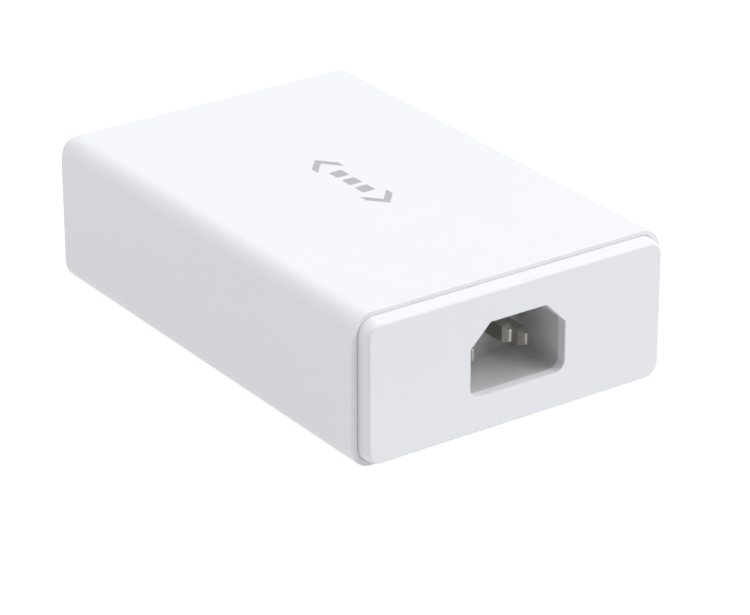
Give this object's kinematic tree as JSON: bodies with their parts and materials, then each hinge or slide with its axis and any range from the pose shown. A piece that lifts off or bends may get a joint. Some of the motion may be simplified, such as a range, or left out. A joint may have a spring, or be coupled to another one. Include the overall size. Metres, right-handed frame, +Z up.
{
  "type": "poe injector",
  "caption": "Mains-powered box that adds power to a network cable: smooth white sleeve with bevelled end caps, mains inlet at one end, network jacks at the other.",
  "frame": {"origin": "middle of the footprint, on the surface the rubber feet stand on", "axes": "+Z up, +Y along the length towards the network jacks, -Y towards the mains inlet, +X to the right when facing the inlet"},
  "size_m": [0.08, 0.1218, 0.0357],
  "materials": {
    "housing_white": "fine satin moulded white",
    "inlet_grey": "satin grey moulding",
    "pin_metal": "bright nickel plate",
    "foot_rubber": "matt",
    "clear_plastic": "milky light pipe",
    "board_green": "solder mask on glass laminate",
    "black_plastic": "moulded black",
    "film_white": "insulating film",
    "glass_fuse": "glass tube between metal caps",
    "blue_epoxy": "dipped epoxy",
    "yellow_film": "moulded box",
    "ferrite": "sintered ferrite",
    "copper_wire": "enamelled copper wire",
    "yellow_tape": "polyester tape over wire",
    "aluminium": "extruded",
    "capacitor_sleeve": "shrink sleeve over aluminium can",
    "shield_steel": "folded plated sheet",
    "contact_gold": "gold-plated spring wire"
  },
  "bodies": {
    "root": {"sleeve_housing": "housing_white", "inlet_end_cap": "housing_white", "port_end_cap": "housing_white", "foot_1": "foot_rubber", "foot_2": "foot_rubber", "foot_3": "foot_rubber", "foot_4": "foot_rubber", "inlet_shell": "inlet_grey", "line_pin": "pin_metal", "neutral_pin": "pin_metal", "earth_pin": "pin_metal", "light_pipe_1": "clear_plastic", "light_pipe_2": "clear_plastic", "status_led_1": "clear_plastic", "status_led_2": "clear_plastic", "main_board": "board_green", "insulation_sheet": "film_white", "fuse": "glass_fuse", "varistor": "blue_epoxy", "y_capacitor": "blue_epoxy", "x_capacitor": "yellow_film", "choke_core": "ferrite", "transformer_core": "ferrite", "output_inductor": "ferrite", "choke_winding_1": "copper_wire", "choke_winding_2": "copper_wire", "transformer_winding": "yellow_tape", "bridge_rectifier": "black_plastic", "switching_transistor": "black_plastic", "optocoupler": "black_plastic", "output_diode": "black_plastic", "ethernet_magnetics": "black_plastic", "poe_controller": "black_plastic", "jack_housing_1": "black_plastic", "jack_housing_2": "black_plastic", "bulk_capacitor": "capacitor_sleeve", "output_capacitor_1": "capacitor_sleeve", "output_capacitor_2": "capacitor_sleeve", "primary_heatsink": "aluminium", "secondary_heatsink": "aluminium", "jack_shield_1": "shield_steel", "jack_shield_2": "shield_steel"},
    "contacts_1": {"contact_wire_1_1": "contact_gold", "contact_wire_1_2": "contact_gold", "contact_wire_1_3": "contact_gold", "contact_wire_1_4": "contact_gold", "contact_wire_1_5": "contact_gold", "contact_wire_1_6": "contact_gold", "contact_wire_1_7": "contact_gold", "contact_wire_1_8": "contact_gold"},
    "contacts_2": {"contact_wire_2_1": "contact_gold", "contact_wire_2_2": "contact_gold", "contact_wire_2_3": "contact_gold", "contact_wire_2_4": "contact_gold", "contact_wire_2_5": "contact_gold", "contact_wire_2_6": "contact_gold", "contact_wire_2_7": "contact_gold", "contact_wire_2_8": "contact_gold"}
  },
  "joints": [
    {"name": "contact_spring_1", "type": "hinge", "parent": "root", "child": "contacts_1", "pos_m": [-0.013, 0.0579, 0.01905], "axis": [-1, 0, 0], "range_deg": [0, 12], "stiffness_Nm_per_rad": 0.3},
    {"name": "contact_spring_2", "type": "hinge", "parent": "root", "child": "contacts_2", "pos_m": [0.013, 0.0579, 0.01905], "axis": [-1, 0, 0], "range_deg": [0, 12], "stiffness_Nm_per_rad": 0.3}
  ]
}
